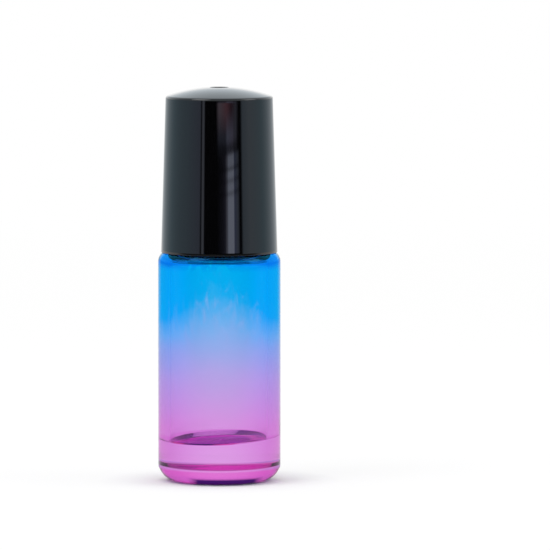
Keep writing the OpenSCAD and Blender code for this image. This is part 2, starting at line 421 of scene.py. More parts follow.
@dataclass(frozen=True)
class SprayedGlass:
    """Soda-lime glass, pressed and blown, with a translucent lacquer sprayed on its outside.

    The lacquer is clear colour over clear glass: it dyes the light that comes through and its
    own gloss. The two sprays meet in soft, uneven lobes. Its colours also hold a painted shade
    band just under the shoulder and a painted contact shadow under the base.
    """

    ior: float = 1.52
    roughness: float = 0.0
    # Heights in mm, and the colour that white light has after it has crossed two walls there;
    # the darker stop at 36 mm is a painted shade band just under the shoulder, by the cap's rim
    stops: Stops = (
        (0, "#E0A0E6"), (9, "#DB97E5"), (17, "#BEAAF0"), (25, "#80BAFB"), (31, "#0DB5FF"),
        (34.7, "#03B9FF"), (36.0, "#0592F8"), (38.5, "#08A8FD"), (50, "#0CB6FF"))
    top: float = 50.0
    # Above this height the drift no longer moves the colours up
    still: float = 34.7
    heel_height: Pair = (2.1, 2.7)
    # The heel's coat in front, at the back, in the pools at the back, and the dark painted
    # contact shadow under the base
    heel: tuple[str, str, str, str] = ("#EE66D0", "#CC1E92", "#5E1460", "#2C0850")
    pool_size: float = 2.5
    pool_squash: float = 5.0
    pool_edge: Pair = (0.48, 0.62)
    # Where the painted contact shadow under the base ends, by radius and by distance across
    shadow_radius: Pair = (9.0, 9.35)
    shadow_reach: Pair = (4.6, 6.2)
    shadow_aside: float = 1.1
    body_radius: float = 10.0
    lobe: float = 7.0
    lobe_height: Pair = (22.0, 29.0)
    noise_size: float = 5.0
    noise_depth: float = 2.4
    # Heights between which the lobes and the noise set in
    calm_height: Pair = (5.0, 12.0)
    streak_width: float = 1.8
    streak_length: float = 4.5
    streak_rise: float = 7.0
    streak_swirl: float = 0.8
    streak_start: tuple[float, float, float] = (0.0, 5.0, 4.0)
    streak_edge: Pair = (0.5, 0.75)
    streak_height: Pair = (22.0, 30.0)
    # Extra depth of the coat where it is crossed aslant, and how far aslant that is complete,
    # seen from outside and from within
    aslant: float = 1.4
    aslant_from: Pair = (0.4, 0.15)
    rim: str = "#FFFCE4"
    rim_dyed: Pair = (0.1, 0.35)
    rim_white: Pair = (0.68, 1.0)
    # The colours of the cavity's floor, of the cone round it, and where these end
    floor: str = "#F6ACF4"
    cone: str = "#FCDCF8"
    floor_radius: Pair = (5.8, 5.95)
    floor_aside: float = 0.85
    floor_height: Pair = (7.6, 7.8)

    def drift(self, add: Adder, place: Socket) -> Node:
        """Work out how far the coat's colours lie above or below their usual height.

        A term in (x / R)^2 draws the blue down at the sides, as two spray guns leave it. Noise
        makes that uneven, and feathery streaks of the lower colours reach up into the blue.

        Args:
            add: Adds a node to the material.
            place: The point in object space.

        Returns:
            The height in metres by which the colours are moved.
        """
        x, _, z = add("SeparateXYZ", place).outputs
        across = add("Math MULTIPLY", x, 1 / (self.body_radius * MM))
        square = add("Math MULTIPLY", across, across)
        noise = add("TexNoise", place, Scale=1 / (self.noise_size * MM), Detail=3.0,
                    Roughness=0.55)
        half = self.noise_depth * MM / 2
        uneven = add("MapRange", noise, To_Min=-half, To_Max=half)
        drawn_down = add("MapRange", z, *mm(*self.lobe_height, 0, self.lobe))
        lobe = add("Math MULTIPLY_ADD", square, drawn_down, uneven)
        calm = add("Math MULTIPLY", lobe, add("MapRange", z, *mm(*self.calm_height)))
        drawn = add("Mapping", place, Location=mm(*self.streak_start),
                    Scale=(1.0, 1.0, self.streak_width / self.streak_length))
        brushed = add("TexNoise", drawn, Scale=1 / (self.streak_width * MM), Detail=4.0,
                      Distortion=self.streak_swirl)
        streak = add("MapRange", brushed, *self.streak_edge, To_Max=-self.streak_rise * MM)
        in_blue = add("MapRange", z, *mm(*self.streak_height))
        return add("Math MULTIPLY_ADD", streak, in_blue, calm)

    def heel_coat_and_shadow(self, add: Adder, place: Socket) -> Node:
        """Colour the heel, where the lacquer ran together before it dried, and paint a contact
        shadow under the base.

        It is thin on the heel's front, deeper and pooled in long patches at the back, and under the
        base it gives way to a dark painted contact shadow, in a strip across the middle.

        Args:
            add: Adds a node to the material.
            place: The point in object space.

        Returns:
            The coat's colour, with the painted contact shadow under the base in it.
        """
        x, y, _ = add("SeparateXYZ", place).outputs
        # under is the colour of the painted contact shadow below the base
        front, back, pool, under = (linear(code) for code in self.heel)
        drawn = add("Mapping", place, Scale=(1.0, 1.0, self.pool_squash))
        patches = add("TexNoise", drawn, Scale=1 / (self.pool_size * MM), Detail=3.0)
        far = add("Mix RGBA", add("MapRange", patches, *self.pool_edge), back, pool)
        heel = add("Mix RGBA", add("MapRange", y, *mm(-1, 1)), front, far)
        # Painted contact shadow: inside the base's radius and within a strip across the middle
        ring = add("MapRange", from_axis(add, place), *mm(*self.shadow_radius))
        across = add("Math SUBTRACT", x, self.shadow_aside * MM)
        reach = add("MapRange", add("Math ABSOLUTE", across), *mm(*self.shadow_reach))
        return add("Mix RGBA", add("Math MAXIMUM", ring, reach), under, heel)

    def coat(self, add: Adder) -> Node:
        """Pick the coat's colour by the height, with the drift added, and on the heel by its own.

        Args:
            add: Adds a node to the material.

        Returns:
            The colour that light has after two crossings of the coat at a point, with the painted
            shade band and the painted contact shadow in it.
        """
        place = add("TexCoord").outputs["Object"]
        z = add("SeparateXYZ", place).outputs["Z"]
        moved = add("Math ADD", self.drift(add, place), z)
        held = add("Math MINIMUM", moved, add("Math MAXIMUM", z, self.still * MM))
        ramp = add("ValToRGB", add("MapRange", held, *mm(0, self.top)))
        set_ramp(ramp, [(height / self.top, code) for height, code in self.stops])
        deep = add("MapRange", z, *mm(*self.heel_height), interpolation_type="SMOOTHSTEP")
        return add("Mix RGBA", deep, self.heel_coat_and_shadow(add, place), ramp)

    def outer(self) -> Material:
        """Build the lacquered outside.

        A coat that is crossed aslant dyes more. Its gloss takes the coat's colour, and turns
        white only at the very rim, where the light hardly enters the coat.

        Returns:
            The material.
        """
        material = bpy.data.materials.new("sprayed_soda_lime_glass")
        add = start_nodes(material)
        coat = self.coat(add)
        facing = add("LayerWeight", 0.5).outputs["Facing"]
        from_out, from_in = (
            add("MapRange", facing, 0.0, full, depth, self.aslant * depth)
            for full, depth in zip(self.aslant_from, (1.0, 0.5)))
        rim = add("Mix RGBA", facing, coat, linear(self.rim), blend_type="MULTIPLY")
        twice = add("Gamma", rim, from_out)
        halved = add("Gamma", twice, 0.5)
        once = add("Gamma", coat, from_in)
        white = add("MapRange", facing, *self.rim_white)
        dyed = add("Mix RGBA", white, add("Gamma", coat, 0.5), WHITE)
        smooth = {"Roughness": self.roughness}
        glassy = {**smooth, "IOR": self.ior}
        outside = add("BsdfPrincipled", twice, Transmission_Weight=1.0, Specular_Tint=coat,
                      **glassy)
        inside = add("BsdfGlass", once, **glassy)
        bent = add("BsdfRefraction", halved, **glassy)
        gloss = add("BsdfAnisotropic", dyed, **smooth)
        lacquer = add("MixShader", add("Fresnel", self.ior), bent, gloss)
        front = add("MixShader", add("MapRange", facing, *self.rim_dyed), outside, lacquer)
        back = add("NewGeometry").outputs["Backfacing"]
        add("OutputMaterial", add("MixShader", back, front, inside))
        return material

    def inner(self) -> Material:
        """Build the bare inside: clear fire-polished glass.

        The middle of the floor shows the deep coat that lies under it, and the cone round it
        a little of that.

        Returns:
            The material.
        """
        material = bpy.data.materials.new("clear_soda_lime_glass")
        add = start_nodes(material)
        place = add("Mapping", add("TexCoord").outputs["Object"],
                    Location=mm(self.floor_aside, 0, 0))
        ring = add("MapRange", from_axis(add, place), *mm(*self.floor_radius))
        up = add("SeparateXYZ", place).outputs["Z"]
        above = add("MapRange", up, *mm(*self.floor_height))
        dyed = add("Mix RGBA", ring, linear(self.floor), linear(self.cone))
        glass = add("BsdfGlass", add("Mix RGBA", above, dyed, WHITE), Roughness=self.roughness,
                    IOR=self.ior)
        add("OutputMaterial", glass)
        return material


@dataclass(frozen=True)
class MouldedPlastic:
    """An injection-moulded plastic: faint flow waves in its gloss, from the mould's surface."""

    name: str
    colour: str
    roughness: float
    ior: float
    transmission: float = 0.0
    subsurface: float = 0.0
    # Height in mm below which it is pressed to the glass, or none, and how rough it looks there
    pressed: float | None = None
    pressed_roughness: float = 0.05
    pressed_fade: float = 0.1
    wave_size: float = 6.0
    wave_depth: float = 0.002

    def build(self) -> Material:
        """Build the plastic. It is rougher and less clear where it isn't pressed to the glass.

        Returns:
            The material.
        """
        material = bpy.data.materials.new(self.name)
        add = start_nodes(material)
        place = add("TexCoord").outputs["Object"]
        waves = add("TexNoise", place, Scale=1 / (self.wave_size * MM), Detail=1.0)
        bump = add("Bump", Height=waves, Strength=1.0, Distance=self.wave_depth * MM)
        rough, clear = self.roughness, self.transmission
        if self.pressed is not None:
            up = add("SeparateXYZ", place).outputs["Z"]
            rough, clear = (
                add("MapRange", up, *mm(self.pressed, self.pressed + self.pressed_fade), flush,
                    free)
                for flush, free in ((self.pressed_roughness, rough), (1.0, clear)))
        plastic = add("BsdfPrincipled", linear(self.colour), IOR=self.ior, Roughness=rough,
                      Transmission_Weight=clear, Normal=bump,
                      Subsurface_Weight=self.subsurface, Subsurface_Radius=(1.0, 1.0, 1.0),
                      Subsurface_Scale=MM)
        add("OutputMaterial", plastic)
        return material


@dataclass(frozen=True)
class PolishedSteel:
    """A lapped stainless ball: a mirror with the faintest haze."""

    colour: str = "#C9CACD"
    roughness: float = 0.04
    haze_size: float = 1.5

    def build(self) -> Material:
        """Build the steel.

        Returns:
            The material.
        """
        material = bpy.data.materials.new("lapped_stainless_steel")
        add = start_nodes(material)
        haze = add("TexNoise", add("TexCoord").outputs["Object"],
                   Scale=1 / (self.haze_size * MM), Detail=4.0)
        rough = add("MapRange", haze, To_Min=self.roughness / 2, To_Max=self.roughness * 3 / 2)
        steel = add("BsdfPrincipled", linear(self.colour), Metallic=1.0, Roughness=rough)
        add("OutputMaterial", steel)
        return material


@dataclass
class GlassBottle:
    """The body, shoulder, bead and threaded neck, pressed and blown in one piece."""

    wall: float = 2.0
    base: float = 6.7
    floor_flat: float = 5.9
    floor_rise: float = 0.5
    floor_round: float = 0.02
    floor_tilt: Pair = (0.024, 0.038)
    floor_aside: Pair = (0.85, 0.15)
    shoulder: float = 37.9
    shoulder_wall: float = 1.4
    heel_round: float = 3.2
    heel_slope: float = 28.0
    shoulder_round: float = 2.0
    cavity_round: float = 0.8
    foot: float = 1.4
    pushup: float = 0.8
    foot_round: float = 0.35
    bore: float = 5.25
    neck_wall: float = 1.85
    neck_round: float = 0.6
    rim_round: float = 0.35
    bore_round: float = 0.3
    bead_z: float = 3.15
    bead_height: float = 0.85
    bead_width: float = 1.5
    row: float = 0.09
    radius: float = 10.0
    # Heights in mm over which the floor's shift and its tilt die out up the wall, and the
    # radius within which the shift leaves the middle alone
    shift_reach: float = 6.0
    tilt_reach: float = 5.0
    still_middle: float = 1.0
    thread: Helix = Helix()
    finish: SprayedGlass = SprayedGlass()

    def outline(self) -> Array:
        """Draw the section: out along the base, up the outside, over the rim and down inside.

        Returns:
            Points of (r, z) in millimetres.
        """
        _, high = node_box("glass_bottle")
        body, rim = high.x, high.z
        neck = self.bore + self.neck_wall
        foot_out = body - self.heel_round
        foot_in = foot_out - self.foot
        push = (foot_in ** 2 + self.pushup ** 2) / (2 * self.pushup)
        lean = degrees(asin((foot_in - self.foot_round) / push))
        cavity, cavity_top = body - self.wall, self.shoulder - self.shoulder_wall
        bead = self.shoulder + self.bead_z
        path = Outline(0, self.pushup)
        path.arc(0, self.pushup - push, push, 90, 90 - lean, 16)
        path.line((foot_in + self.foot_round, 0, 3), (foot_out, 0, 4))
        path.arc(foot_out, self.heel_round, self.heel_round, -90, -self.heel_slope, 20)
        turn = radians(self.heel_slope)
        seam = self.heel_round * (1 - tan(turn / 2))
        path.line((body, seam, 4), (body, self.shoulder - self.shoulder_round, 60))
        path.corner(body, self.shoulder, self.shoulder_round, 0, 90, 18)
        path.corner(neck, self.shoulder, self.neck_round, -90, -180, 10)
        path.line((neck, bead - self.bead_width / 2, 2))
        path.oval(neck, bead, self.bead_height, self.bead_width / 2, -90, 90, 20)
        path.line((neck, rim - self.rim_round, round((rim - bead) / self.row)))
        path.corner(neck, rim, self.rim_round, 0, 90, 6)
        path.corner(self.bore, rim, self.rim_round, 90, 180, 6)
        path.corner(self.bore, cavity_top, self.bore_round, 180, 270, 6)
        path.corner(cavity, cavity_top, self.cavity_round, 90, 0, 12)
        slope = atan(self.floor_rise / (cavity - self.floor_flat))
        corner = cavity - self.floor_round
        up = self.base + (corner - self.floor_flat) * tan(slope) + (
            self.floor_round / cos(slope))
        path.line((cavity, up, 60))
        path.arc(corner, up, self.floor_round, 0, degrees(slope) - 90, 12)
        path.line((self.floor_flat, self.base, 6), (0, self.base, 24))
        return path.points()

    def in_cavity(self, place: Array) -> Array:
        """Tell which points of the outline lie on the cavity's wall and floor."""
        return (place[..., 0] < self.radius - self.wall + 1e-3) & (
            place[..., 1] > self.base - 1e-3)

    def swell(self, angle: Array, place: Array) -> Array:
        """Raise the thread out of the neck, and set the cavity's foot aside.

        The thread is a height field over the neck's outer wall. The cavity's radius changes by
        -aside cos a, which moves it sideways: most in the middle of the floor, less at its rim,
        and not at all a few millimetres up the wall.

        Args:
            angle: Angles about the axis.
            place: Points of the outline, on the same grid.

        Returns:
            The extra radius in millimetres.
        """
        r, z = place[..., 0], place[..., 1]
        neck = self.bore + self.neck_wall
        on_neck = (np.abs(r - neck) < 1e-4) & (z > self.thread.low - 1.0)
        ridge = np.where(on_neck, self.thread.ridge(angle, z), 0.0)
        fade = np.clip(1 - (z - self.base) / self.shift_reach, 0, 1) ** 2
        middle, rim = self.floor_aside
        cavity = self.radius - self.wall
        share = np.clip((r - self.floor_flat) / (cavity - self.floor_flat), 0, 1)
        aside = middle + (rim - middle) * share
        moved = self.in_cavity(place) & (r > self.still_middle)
        return ridge + np.where(moved, -aside * np.cos(angle) * fade, 0.0)

    def settle(self, angle: Array, place: Array) -> Array:
        """Tilt the cavity's floor a little, as hot glass settles.

        The extra height is r (tx cos a + ty sin a), and it is gone a few millimetres up the wall.

        Args:
            angle: Angles about the axis.
            place: Points of the outline, on the same grid.

        Returns:
            The extra height in millimetres.
        """
        over = place[..., 1] - self.base - self.floor_rise
        fade = np.clip(1 - over / self.tilt_reach, 0, 1) ** 2
        fade = fade * (3 - 2 * fade)
        slope = self.floor_tilt[0] * np.cos(angle) + self.floor_tilt[1] * np.sin(angle)
        return np.where(self.in_cavity(place), slope * place[..., 0] * fade, 0.0)

    def sides(self, middles: Array) -> Array:
        """Tell which stretches of the outline are the bare inside.

        Args:
            middles: The stretches' middles.

        Returns:
            Their material numbers.
        """
        outer_neck = middles[:, 0] > self.bore + 0.5 * self.neck_wall
        above = middles[:, 1] > self.shoulder - self.shoulder_wall + 1e-3
        inside = self.in_cavity(middles) & ~(outer_neck & above)
        return np.where(inside, Side.INNER.value, Side.OUTER.value)

    def build(self) -> None:
        """Make the glass piece."""
        surface = turned(self.outline(), self.swell, self.settle, slots=self.sides)
        piece("glass_bottle_lathe", "bottle", surface, [self.finish.outer(), self.finish.inner()],
              "glass_bottle")


@dataclass
class Roller:
    """The soft fitment pressed into the neck, and the ball that rolls in its socket."""

    ball_gap: float = 0.06
    lip_rise: float = 1.65
    head_wall: float = 1.23
    lip: float = 0.65
    head_round: float = 2.7
    seat: float = 3.3
    collar: float = 2.25
    collar_round: float = 0.25
    head: float = 6.2
    plug: float = 5.15
    plug_wall: float = 1.05
    plug_lead: float = 0.9
    ring_width: float = 0.7
    ring_height: float = 0.11
    rings: int = 3
    chamfer: float = 0.1
    plastic: MouldedPlastic = MouldedPlastic("natural_polyethylene", "#F0F5FA", 0.33, 1.25,
                                             transmission=0.92, subsurface=0.25, pressed=49.2)
    steel: PolishedSteel = PolishedSteel()

    def outline(self) -> Array:
        """Draw the fitment's section, closed like a ring: plug, collar, head, socket and bore.

        Returns:
            Points of (r, z) in millimetres.
        """
        low, high = node_box("roller_housing")
        ball_low, ball_high = node_box("roller_ball")
        ball_z, ball_r = (ball_low.z + ball_high.z) / 2, ball_high.x
        socket = ball_r + self.ball_gap
        collar_top = high.z - self.head
        rim, bottom, collar_r = collar_top - self.collar, low.z, high.x
        head_r = socket + self.head_wall
        lip_in = sqrt(socket ** 2 - self.lip_rise ** 2)
        lip_out = lip_in + self.lip
        inner = self.plug - self.plug_wall
        space = (rim - bottom - self.plug_lead) / (self.rings + 1)
        path = Outline(inner, bottom)
        path.line((self.plug - self.plug_lead / 2, bottom, 3),
                  (self.plug, bottom + self.plug_lead, 3))
        for i in range(1, self.rings + 1):
            path.oval(self.plug, bottom + self.plug_lead + i * space, self.ring_height,
                      self.ring_width / 2, -90, 90, 8)
        large, small = self.collar_round, self.collar_round / 2
        path.line((self.plug, rim, 3), (collar_r - small, rim, 3))
        path.corner(collar_r, rim, small, -90, 0, 5)
        path.corner(collar_r, collar_top, large, 0, 90, 8)
        path.corner(head_r, collar_top, large, -90, -180, 6)
        path.oval(lip_out, high.z - self.head_round, head_r - lip_out, self.head_round, 0, 90, 20)
        path.arc(0, ball_z, socket, degrees(asin(self.lip_rise / socket)),
                 -degrees(acos(self.seat / socket)), 30)
        path.line((self.seat, collar_top - self.collar / 2, 3), (inner, rim, 3),
                  (inner, bottom + self.chamfer, 12))
        return path.points()

    def build(self) -> None:
        """Make the fitment and the ball."""
        piece("roller_fitment", "bottle", turned(self.outline()), [self.plastic.build()],
              "roller_housing")
        low, high = node_box("roller_ball")
        ball = Outline(0, low.z).arc(0, (low.z + high.z) / 2, high.x, -90, 90, 96).points()
        ball[[0, -1], 0] = 0
        piece("steel_ball", "ball", turned(ball, segments=128), [self.steel.build()],
              "roller_ball")


@dataclass
class Cap:
    """The tall black screw cap, its inner thread, and the seal that its holder grips."""

    wall: float = 1.3
    taper: float = 1.7
    top: float = 1.25
    dome: float = 1.5
    edge_round: float = 0.5
    rim_round: float = 0.1
    gap: float = 0.1
    shoulder: float = 37.9
    shoulder_round: float = 2.0
    shoulder_mid: float = 8.0
    dimple: float = 1.5
    dimple_depth: float = 0.4
    dimple_round: float = 0.12
    gate: float = 0.4
    gate_height: float = 0.15
    threaded: float = 8.2
    # Height where the threaded bore ends, a little above the thread's last turn
    thread_top: float = 48.011
    thread: Helix = Helix(start=radians(-220), low=42.581 + 2.1 * 20 / 360, turns=1.6,
                          width=0.97)
    seal_flange: float = 1.1
    snap: float = 0.2
    snap_width: float = 0.4
    seal_gap: float = 0.08
    holder_wall: float = 0.65
    ceiling_gap: float = 0.2
    chamfer: float = 0.1
    # Steps of height along the threaded bore, and the ledge above it
    row: float = 0.1
    ledge: float = 0.2
    webs: int = 6
    web: float = 0.8
    # The webs end under the ceiling where its squared radius is the brim's over this
    web_reach: float = 1.4
    plastic: MouldedPlastic = MouldedPlastic("gloss_black_polypropylene", "#040405", 0.03, 1.5)
    liner: MouldedPlastic = MouldedPlastic("white_polyethylene", "#EDEFEE", 0.38, 1.5,
                                           subsurface=0.3)

    def __post_init__(self) -> None:
        """Work out the dome's sphere and the heights that the sections share."""
        low, high = node_box("screw_cap")
        seal_low, seal_high = node_box("cap_seal")
        self.low, self.apex, self.low_r = low.z, high.z, high.x
        self.seal_low, self.seal_top, self.seal_r = seal_low.z, seal_high.z, seal_high.x
        self.slope = tan(radians(self.taper))
        rim_r = self.side(self.seal_top + self.top + self.ceiling_gap)
        self.dome_r = (rim_r ** 2 + self.dome ** 2) / (2 * self.dome)
        self.dome_mid = self.apex - self.dome_r
        self.ceiling_r = self.dome_r - self.top

    def side(self, z: float) -> float:
        """Give the outer radius at height z."""
        return self.low_r - (z - self.low) * self.slope

    def outline(self) -> Array:
        """Draw the shell: down the inside, round the brim, up the outside and over the dome.

        Returns:
            Points of (r, z) in millimetres, from the ceiling down, round and up to the mark.
        """
        reach = self.side(self.dome_mid) - self.edge_round / cos(radians(self.taper))
        room, tilt = self.dome_r - self.edge_round, 1 + self.slope ** 2
        edge_up = (reach * self.slope + sqrt(room ** 2 * tilt - reach ** 2)) / tilt
        edge_r = reach - edge_up * self.slope
        edge_angle = degrees(atan2(edge_up, edge_r))
        wall_in = self.side(self.apex - self.dome - self.top) - self.wall
        ceiling_angle = degrees(acos(wall_in / self.ceiling_r))
        tip = self.low_r - self.rim_round
        reach_r = self.shoulder_round + self.gap
        rest = self.shoulder - self.shoulder_round
        steep = degrees(acos((tip - self.shoulder_mid) / reach_r))
        flat = degrees(acos((self.threaded - self.shoulder_mid) / reach_r))
        dip = self.apex - self.dimple_depth
        small = self.dimple_round
        path = Outline(0, self.dome_mid + self.ceiling_r)
        path.arc(0, self.dome_mid, self.ceiling_r, 90, ceiling_angle, 24)
        brow = rest + reach_r * sin(radians(flat))
        path.line((self.side(self.thread_top) - self.wall, self.thread_top + self.ledge, 20),
                  (self.threaded, self.thread_top, 2),
                  (self.threaded, brow, round((self.thread_top - brow) / self.row)))
        path.arc(self.shoulder_mid, rest, reach_r, flat, steep, 12)
        path.corner(self.low_r, self.low, self.rim_round, -90, 0, 8)
        path.line((edge_r + self.edge_round * cos(radians(self.taper)),
                   self.dome_mid + edge_up, 60))
        path.arc(edge_r, self.dome_mid + edge_up, self.edge_round, self.taper, edge_angle, 14)
        dimple_angle = degrees(acos((self.dimple + small) / self.dome_r))
        path.arc(0, self.dome_mid, self.dome_r, edge_angle, dimple_angle, 40)
        top = self.dome_mid + self.dome_r * sin(radians(dimple_angle))
        path.corner(self.dimple, top, small, 90, 180, 6)
        path.corner(self.dimple, dip, small, 0, -90, 6)
        path.line((self.gate + small / 2, dip, 4), (self.gate, dip + self.gate_height, 2),
                  (0, dip + self.gate_height, 3))
        return path.points()

    def swell(self, angle: Array, place: Array) -> Array:
        """Raise the cap's thread inwards, as a height field over the threaded bore."""
        on_wall = np.abs(place[..., 0] - self.threaded) < 1e-4
        return np.where(on_wall, -self.thread.ridge(angle, place[..., 1]), 0.0)

    def holder(self) -> Array:
        """Draw the ring that holds the seal, with its step above and its lip below.

        Returns:
            Points of (r, z) in millimetres, closed like a ring.
        """
        inside = self.seal_r + self.seal_gap
        outside = inside + self.holder_wall
        grip = self.seal_r - self.snap
        low = self.seal_top - self.seal_flange - self.snap_width - self.seal_gap
        step = self.seal_top + self.seal_gap
        roof = self.dome_mid + sqrt(self.ceiling_r ** 2 - outside ** 2) + self.top / 3
        path = Outline(outside, low + self.chamfer).line(
            (outside, roof, 6), (grip, roof, 2), (grip, step, 3), (inside, step, 2),
            (inside, low + self.snap_width, 3),
            (grip + self.seal_gap, low + self.snap_width / 2, 2),
            (inside, low, 2), (outside - self.chamfer, low, 2))
        return path.points()

    def web_plates(self) -> Surface:
        """Make the plates between the holder and the wall, as one grid of corner points.

        Returns:
            The plates' surface in millimetres.
        """
        inside = self.seal_r + self.seal_gap + self.holder_wall / 2
        low = self.seal_top - self.seal_flange - self.seal_gap
        reach = self.low_r ** 2 / self.web_reach
        roof = self.dome_mid + sqrt(self.ceiling_r ** 2 - reach) + self.top / 3
        outside = self.side(roof) - self.wall / 2
        r, t, z = (grid.ravel() for grid in np.meshgrid(
            [inside, outside], [-self.web / 2, self.web / 2], [low, roof], indexing="ij"))
        turn = np.arange(self.webs)[:, None] * TURN / self.webs
        c, s = np.cos(turn), np.sin(turn)
        points = np.stack([r * c - t * s, r * s + t * c, z + 0 * c], axis=2).reshape(-1, 3)
        cube = np.array([[0, 1, 3, 2], [4, 6, 7, 5], [0, 4, 5, 1], [2, 3, 7, 6], [0, 2, 6, 4],
                         [1, 5, 7, 3]])
        faces = (cube[None] + 8 * np.arange(self.webs)[:, None, None]).reshape(-1, 4).tolist()
        return Surface(points, faces, np.zeros(len(faces), int))

    def seal_outline(self) -> Array:
        """Draw the seal: flat on the lip, hollow over the ball, with a flange at the top.

        Returns:
            Points of (r, z) in millimetres.
        """
        ball_low, ball_high = node_box("roller_ball")
        ball_z, hollow = (ball_low.z + ball_high.z) / 2, ball_high.x + self.seal_gap
        body = self.seal_r - self.snap
        angle = degrees(asin((self.seal_low - ball_z) / hollow))
        socket = ball_high.x + Roller.ball_gap
        lip_out = sqrt(socket ** 2 - Roller.lip_rise ** 2) + Roller.lip
        flange, top = self.seal_top - self.seal_flange, self.seal_top
        path = Outline(0, ball_z + hollow).arc(0, ball_z, hollow, 90, angle, 30)
        path.line((lip_out, self.seal_low, 2), (body, self.seal_low + body - lip_out, 4),
                  (body, flange, 4), (self.seal_r, flange + self.snap, 2),
                  (self.seal_r, top - self.chamfer, 3), (self.seal_r - self.chamfer, top, 2),
                  (0, top, 12))
        return path.points()

    def build(self) -> None:
        """Make the cap and the seal."""
        shell = turned(self.outline(), self.swell)
        whole = shell + turned(self.holder()) + self.web_plates()
        piece("screw_cap_shell", "cap", whole, [self.plastic.build()], "screw_cap")
        piece("seal_cup", "seal", turned(self.seal_outline()), [self.liner.build()],
              "cap_seal")


